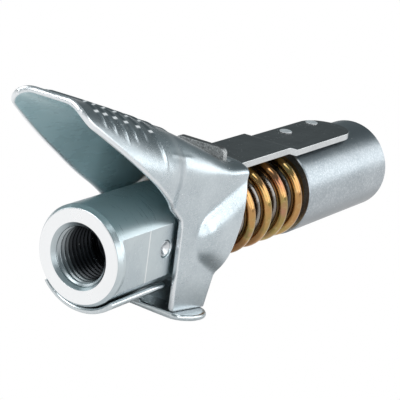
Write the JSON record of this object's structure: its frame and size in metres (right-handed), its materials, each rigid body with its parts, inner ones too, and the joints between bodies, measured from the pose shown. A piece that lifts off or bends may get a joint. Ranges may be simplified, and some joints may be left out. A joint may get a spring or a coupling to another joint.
{
  "type": "grease coupler adapter",
  "caption": "Lever operated grease coupler: threaded inlet body, thumb lever, coil spring and sliding sleeve over gripping jaws.",
  "frame": {"origin": "centre of the threaded inlet face", "axes": "+X along the axis from the inlet to the nozzle mouth, +Z towards the thumb pad, Y across"},
  "size_m": [0.0945, 0.0216, 0.0402],
  "materials": {
    "body_steel": "zinc plated, machined",
    "pin_steel": "plain steel",
    "polished_steel": "polished",
    "rubber": "smooth",
    "spring_wire": "drawn wire",
    "yellow_chromate": "yellow chromate over zinc",
    "lever_plating": "satin plated sheet",
    "sleeve_zinc": "satin zinc",
    "bush_bronze": "turned",
    "bar_plating": "satin plated strip",
    "jaw_steel": "hardened steel"
  },
  "bodies": {
    "coupler_body": {"inlet_body": "body_steel", "lock_pins": "pin_steel", "barrel": "polished_steel", "barrel_seal": "rubber", "check_seat": "pin_steel", "check_spring": "spring_wire", "spring_seat": "body_steel", "release_spring": "yellow_chromate", "jaw_expander": "spring_wire", "seal_spring": "spring_wire"},
    "lever": {"lever": "lever_plating", "stop_plate": "lever_plating"},
    "sleeve": {"sleeve": "sleeve_zinc", "sleeve_bush": "bush_bronze", "draw_bar": "bar_plating", "draw_bar_rivets": "bar_plating"},
    "jaw_1": {"jaw_1": "jaw_steel"},
    "jaw_2": {"jaw_2": "jaw_steel"},
    "jaw_3": {"jaw_3": "jaw_steel"},
    "jaw_4": {"jaw_4": "jaw_steel"},
    "floating_seal": {"seal_piston": "polished_steel", "nozzle_seal": "rubber"},
    "check_ball": {"check_ball": "polished_steel"}
  },
  "joints": [
    {"name": "lever_press", "type": "hinge", "parent": "coupler_body", "child": "lever", "pos_m": [0.0236, 0, 0.0006], "axis": [0, -1, 0], "range_deg": [0, 16], "stiffness_Nm_per_rad": 0.15, "springref_deg": -22.92},
    {"name": "sleeve_slide", "type": "slide", "parent": "coupler_body", "child": "sleeve", "axis": [-1, 0, 0], "range_m": [0, 0.0033], "deforming": ["release_spring"]},
    {"name": "jaw_1_open", "type": "hinge", "parent": "coupler_body", "child": "jaw_1", "pos_m": [0.06655, 0.00332, 0.00332], "axis": [0, -0.7071, 0.7071], "range_deg": [0, 2.3]},
    {"name": "jaw_2_open", "type": "hinge", "parent": "coupler_body", "child": "jaw_2", "pos_m": [0.06655, -0.00332, 0.00332], "axis": [0, -0.7071, -0.7071], "range_deg": [0, 2.3]},
    {"name": "jaw_3_open", "type": "hinge", "parent": "coupler_body", "child": "jaw_3", "pos_m": [0.06655, -0.00332, -0.00332], "axis": [0, 0.7071, -0.7071], "range_deg": [0, 2.3]},
    {"name": "jaw_4_open", "type": "hinge", "parent": "coupler_body", "child": "jaw_4", "pos_m": [0.06655, 0.00332, -0.00332], "axis": [0, 0.7071, 0.7071], "range_deg": [0, 2.3]},
    {"name": "seal_float", "type": "slide", "parent": "coupler_body", "child": "floating_seal", "axis": [-1, 0, 0], "range_m": [0, 0.0007], "stiffness_N_per_m": 100, "springref_m": -0.001, "deforming": ["seal_spring"]},
    {"name": "check_lift", "type": "slide", "parent": "coupler_body", "child": "check_ball", "axis": [1, 0, 0], "range_m": [0, 0.0008], "stiffness_N_per_m": 10, "springref_m": -0.001, "deforming": ["check_spring"]}
  ],
  "couplings": [
    {"joint": "sleeve_slide", "follows": "lever_press", "m_per_rad": 0.011101},
    {"joint": "jaw_1_open", "follows": "lever_press", "ratio": 0.1375},
    {"joint": "jaw_2_open", "follows": "lever_press", "ratio": 0.1375},
    {"joint": "jaw_3_open", "follows": "lever_press", "ratio": 0.1375},
    {"joint": "jaw_4_open", "follows": "lever_press", "ratio": 0.1375}
  ]
}
